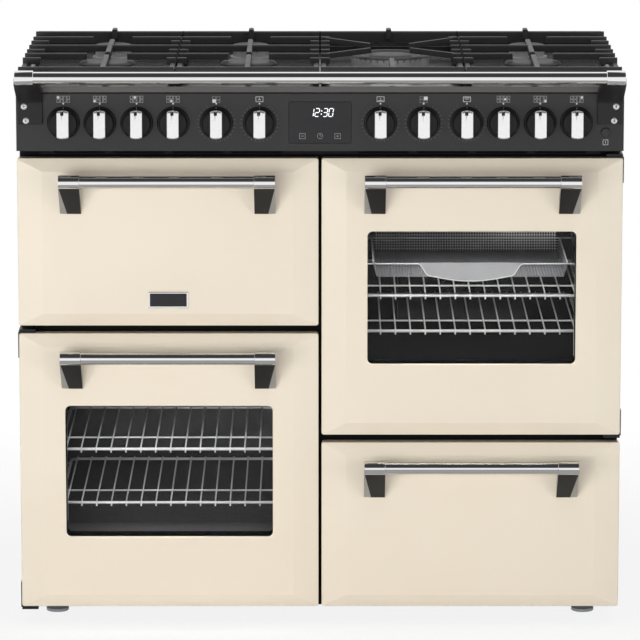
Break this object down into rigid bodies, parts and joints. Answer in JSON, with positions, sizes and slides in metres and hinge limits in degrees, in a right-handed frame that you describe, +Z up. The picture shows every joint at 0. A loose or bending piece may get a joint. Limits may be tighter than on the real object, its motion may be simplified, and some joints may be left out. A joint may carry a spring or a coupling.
{
  "type": "dual fuel range cooker",
  "caption": "Free-standing range cooker: gas hob with cast-iron pan supports over hinged oven doors with bar handles, control knobs and a towel rail.",
  "frame": {"origin": "on the floor, under the middle of the outline", "axes": "+X to the right seen from the front, +Y to the back, +Z up"},
  "size_m": [1.003, 0.664, 0.946],
  "materials": {
    "cream_enamel": "gloss enamel",
    "black_enamel": "gloss enamel",
    "oven_enamel": "enamel",
    "cap_enamel": "matt enamel",
    "fascia_enamel": "satin",
    "bracket_paint": "satin",
    "galvanised_steel": "zinc coated",
    "foot_steel": "plain",
    "element_steel": "heat tinted",
    "basket_steel": "perforated sheet",
    "chrome": "polished",
    "burner_aluminium": "cast",
    "cast_iron": "matt enamel",
    "brass": "plain",
    "ceramic_tip": "ceramic",
    "glass_wool": "glass wool",
    "fibre_seal": "woven glass fibre",
    "clock_glass": "gloss",
    "window_glass": "tinted",
    "knob_black": "gloss with chrome grip"
  },
  "bodies": {
    "root": {"side_panels": "black_enamel", "back_panel": "galvanised_steel", "chassis": "galvanised_steel", "front_frame": "black_enamel", "insulation": "glass_wool", "door_seals": "fibre_seal", "feet": "foot_steel", "fascia": "fascia_enamel", "clock_panel": "clock_glass", "taps_and_switches": "brass", "gas_manifold": "brass", "towel_rail": "chrome", "rail_brackets": "bracket_paint", "door_hinges": "bracket_paint", "hob_tray": "black_enamel", "burner_bodies": "burner_aluminium", "burner_caps": "cap_enamel", "spark_electrodes": "ceramic_tip", "grill_cavity": "oven_enamel", "main_oven_cavity": "oven_enamel", "fan_oven_cavity": "oven_enamel", "slow_cook_cavity": "oven_enamel", "grill_element": "element_steel", "grill_pan": "oven_enamel", "oven_racks": "chrome", "fryer_basket": "basket_steel", "fan_cover": "oven_enamel", "fan_motor": "galvanised_steel"},
    "grill_door": {"grill_door_panel": "cream_enamel", "grill_door_liner": "black_enamel", "grill_door_handle": "chrome"},
    "main_oven_door": {"main_door_panel": "cream_enamel", "main_door_liner": "black_enamel", "main_door_glass": "window_glass", "main_door_handle": "chrome"},
    "fan_oven_door": {"fan_door_panel": "cream_enamel", "fan_door_liner": "black_enamel", "fan_door_glass": "window_glass", "fan_door_handle": "chrome"},
    "slow_cook_door": {"slow_door_panel": "cream_enamel", "slow_door_liner": "black_enamel", "slow_door_handle": "chrome"},
    "gas_knob_1": {"gas_knob_1": "knob_black"},
    "gas_knob_2": {"gas_knob_2": "knob_black"},
    "gas_knob_3": {"gas_knob_3": "knob_black"},
    "gas_knob_4": {"gas_knob_4": "knob_black"},
    "gas_knob_5": {"gas_knob_5": "knob_black"},
    "gas_knob_6": {"gas_knob_6": "knob_black"},
    "gas_knob_7": {"gas_knob_7": "knob_black"},
    "oven_knob_1": {"oven_knob_1": "knob_black"},
    "oven_knob_2": {"oven_knob_2": "knob_black"},
    "oven_knob_3": {"oven_knob_3": "knob_black"},
    "oven_knob_4": {"oven_knob_4": "knob_black"},
    "oven_knob_5": {"oven_knob_5": "knob_black"},
    "pan_support_1": {"pan_support_1": "cast_iron"},
    "pan_support_2": {"pan_support_2": "cast_iron"},
    "pan_support_3": {"pan_support_3": "cast_iron"},
    "pan_support_4": {"pan_support_4": "cast_iron"},
    "push_button": {"push_button": "chrome"},
    "convection_fan": {"convection_fan": "burner_aluminium"}
  },
  "joints": [
    {"name": "grill_door_hinge", "type": "hinge", "parent": "root", "child": "grill_door", "pos_m": [-0.25125, -0.252, 0.52], "axis": [1, 0, 0], "range_deg": [0, 90]},
    {"name": "main_oven_door_hinge", "type": "hinge", "parent": "root", "child": "main_oven_door", "pos_m": [-0.486, -0.246, 0.031], "axis": [0, 0, -1], "range_deg": [0, 95]},
    {"name": "fan_oven_door_hinge", "type": "hinge", "parent": "root", "child": "fan_oven_door", "pos_m": [0.486, -0.246, 0.325], "axis": [0, 0, 1], "range_deg": [0, 95]},
    {"name": "slow_cook_door_hinge", "type": "hinge", "parent": "root", "child": "slow_cook_door", "pos_m": [0.25125, -0.252, 0.041], "axis": [1, 0, 0], "range_deg": [0, 80]},
    {"name": "gas_knob_1_turn", "type": "hinge", "parent": "root", "child": "gas_knob_1", "pos_m": [-0.422, -0.278, 0.851], "axis": [0, -1, 0], "range_deg": [0, 210]},
    {"name": "gas_knob_2_turn", "type": "hinge", "parent": "root", "child": "gas_knob_2", "pos_m": [-0.362, -0.278, 0.851], "axis": [0, -1, 0], "range_deg": [0, 210]},
    {"name": "gas_knob_3_turn", "type": "hinge", "parent": "root", "child": "gas_knob_3", "pos_m": [-0.3015, -0.278, 0.851], "axis": [0, -1, 0], "range_deg": [0, 210]},
    {"name": "gas_knob_4_turn", "type": "hinge", "parent": "root", "child": "gas_knob_4", "pos_m": [-0.2415, -0.278, 0.851], "axis": [0, -1, 0], "range_deg": [0, 210]},
    {"name": "gas_knob_5_turn", "type": "hinge", "parent": "root", "child": "gas_knob_5", "pos_m": [0.3015, -0.278, 0.851], "axis": [0, -1, 0], "range_deg": [0, 210]},
    {"name": "gas_knob_6_turn", "type": "hinge", "parent": "root", "child": "gas_knob_6", "pos_m": [0.362, -0.278, 0.851], "axis": [0, -1, 0], "range_deg": [0, 210]},
    {"name": "gas_knob_7_turn", "type": "hinge", "parent": "root", "child": "gas_knob_7", "pos_m": [0.422, -0.278, 0.851], "axis": [0, -1, 0], "range_deg": [0, 210]},
    {"name": "oven_knob_1_turn", "type": "hinge", "parent": "root", "child": "oven_knob_1", "pos_m": [-0.1705, -0.278, 0.851], "axis": [0, -1, 0], "range_deg": [-270, 0]},
    {"name": "oven_knob_2_turn", "type": "hinge", "parent": "root", "child": "oven_knob_2", "pos_m": [-0.0995, -0.278, 0.851], "axis": [0, -1, 0], "range_deg": [-270, 0]},
    {"name": "oven_knob_3_turn", "type": "hinge", "parent": "root", "child": "oven_knob_3", "pos_m": [0.0995, -0.278, 0.851], "axis": [0, -1, 0], "range_deg": [-270, 0]},
    {"name": "oven_knob_4_turn", "type": "hinge", "parent": "root", "child": "oven_knob_4", "pos_m": [0.1705, -0.278, 0.851], "axis": [0, -1, 0], "range_deg": [-270, 0]},
    {"name": "oven_knob_5_turn", "type": "hinge", "parent": "root", "child": "oven_knob_5", "pos_m": [0.2415, -0.278, 0.851], "axis": [0, -1, 0], "range_deg": [-270, 0]},
    {"name": "pan_support_1_lift", "type": "slide", "parent": "root", "child": "pan_support_1", "axis": [0, 0, 1], "range_m": [0, 0.06]},
    {"name": "pan_support_2_lift", "type": "slide", "parent": "root", "child": "pan_support_2", "axis": [0, 0, 1], "range_m": [0, 0.06]},
    {"name": "pan_support_3_lift", "type": "slide", "parent": "root", "child": "pan_support_3", "axis": [0, 0, 1], "range_m": [0, 0.06]},
    {"name": "pan_support_4_lift", "type": "slide", "parent": "root", "child": "pan_support_4", "axis": [0, 0, 1], "range_m": [0, 0.06]},
    {"name": "button_push", "type": "slide", "parent": "root", "child": "push_button", "axis": [0, 1, 0], "range_m": [0, 0.0025], "stiffness_N_per_m": 300, "springref_m": -0.002},
    {"name": "fan_spin", "type": "hinge", "parent": "root", "child": "convection_fan", "pos_m": [0.25125, 0.1935, 0.558], "axis": [0, 1, 0], "continuous": true}
  ]
}
